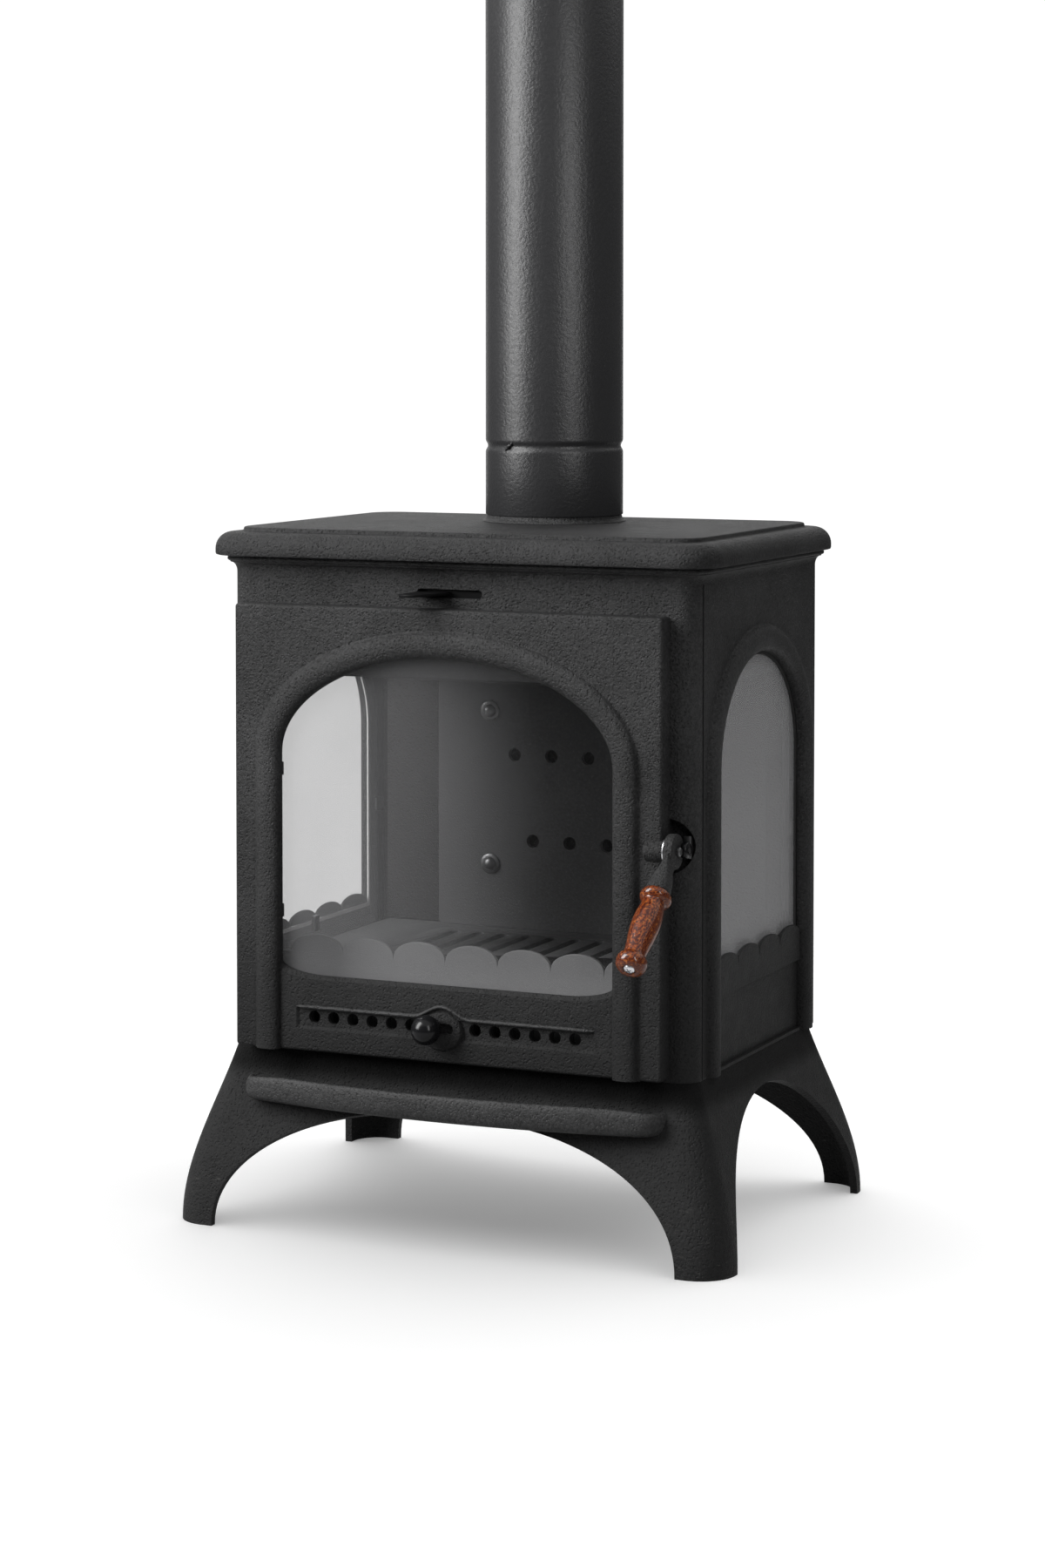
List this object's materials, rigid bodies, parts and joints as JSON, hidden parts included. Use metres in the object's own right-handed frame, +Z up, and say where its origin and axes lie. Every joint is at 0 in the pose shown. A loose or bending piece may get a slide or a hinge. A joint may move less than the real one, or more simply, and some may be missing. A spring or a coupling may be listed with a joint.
{
  "type": "cast iron wood stove",
  "caption": "Free-standing cast iron wood stove with an arched glass door, arched side windows, a wooden door handle, curved legs, an ash lip and a round flue pipe on top.",
  "frame": {"origin": "centre of the bounding box's footprint, on the floor under the feet", "axes": "+Z up, +Y to the rear wall side, +X to the right hand of someone who faces the door; the door faces -Y"},
  "size_m": [0.544, 0.4752, 1.1331],
  "materials": {
    "cast_iron": "matte black stove paint on sand-cast iron, fine grain",
    "flue_steel": "matte black heat paint, fine orange peel",
    "steel_parts": "dark plain steel",
    "firebox_liner": "bare grey cast iron, slightly rough",
    "black_gloss": "glossy black",
    "zinc_steel": "bright zinc plate",
    "grip_wood": "turned, stained red-brown and varnished, with an end grain ring pattern",
    "rope_seal": "knitted glass-fibre rope",
    "stove_glass": "clear ceramic glass with a faint grey veil"
  },
  "bodies": {
    "stove_body": {"leg_base": "cast_iron", "front_frame": "cast_iron", "left_side": "cast_iron", "right_side": "cast_iron", "rear_plate": "cast_iron", "top_plate": "cast_iron", "flue_collar": "cast_iron", "flue_pipe": "flue_steel", "upper_guide_lower": "steel_parts", "upper_guide_upper": "steel_parts", "latch_keeper": "steel_parts", "left_glass": "stove_glass", "left_window_guard": "cast_iron", "left_clip_front": "steel_parts", "left_clip_rear": "steel_parts", "right_glass": "stove_glass", "right_window_guard": "cast_iron", "right_clip_front": "steel_parts", "right_clip_rear": "steel_parts", "hearth_plate": "cast_iron", "fire_bed": "firebox_liner", "grate": "firebox_liner", "ash_pan": "steel_parts", "log_guard": "firebox_liner", "rear_liner": "firebox_liner", "fireback_bolt_left_lower": "steel_parts", "fireback_bolt_left_upper": "steel_parts", "fireback_bolt_right_lower": "steel_parts", "fireback_bolt_right_upper": "steel_parts", "fireback": "firebox_liner", "baffle_plate": "firebox_liner", "airwash_deflector": "firebox_liner", "tie_rod_left_front": "steel_parts", "tie_rod_left_rear": "steel_parts", "tie_rod_right_front": "steel_parts", "tie_rod_right_rear": "steel_parts"},
    "door": {"door": "cast_iron", "door_glass": "stove_glass", "door_gasket": "rope_seal", "air_guide_lower": "steel_parts", "air_guide_upper": "steel_parts", "handle_washer": "zinc_steel", "handle_pivot_pin": "steel_parts", "hinge_pin_lower": "steel_parts", "hinge_pin_upper": "steel_parts", "door_clip_left_lower": "steel_parts", "door_clip_left_upper": "steel_parts", "door_clip_right_lower": "steel_parts", "door_clip_right_upper": "steel_parts"},
    "handle": {"handle_lever": "cast_iron", "handle_grip": "grip_wood", "handle_end_screw": "zinc_steel", "latch_roller": "black_gloss"},
    "air_slider": {"air_slide": "steel_parts", "air_knob": "black_gloss"},
    "upper_air_slider": {"upper_air_slide": "steel_parts"}
  },
  "joints": [
    {"name": "door_hinge", "type": "hinge", "parent": "stove_body", "child": "door", "pos_m": [-0.205, -0.12555, 0.3675], "axis": [0, 0, -1], "range_deg": [0, 95]},
    {"name": "handle_pivot", "type": "hinge", "parent": "door", "child": "handle", "pos_m": [0.2152, -0.13145, 0.3675], "axis": [-1, 0, 0], "range_deg": [0, 60]},
    {"name": "air_slide_run", "type": "slide", "parent": "door", "child": "air_slider", "axis": [1, 0, 0], "range_m": [0, 0.0097]},
    {"name": "upper_air_run", "type": "slide", "parent": "stove_body", "child": "upper_air_slider", "axis": [1, 0, 0], "range_m": [0, 0.033]}
  ]
}
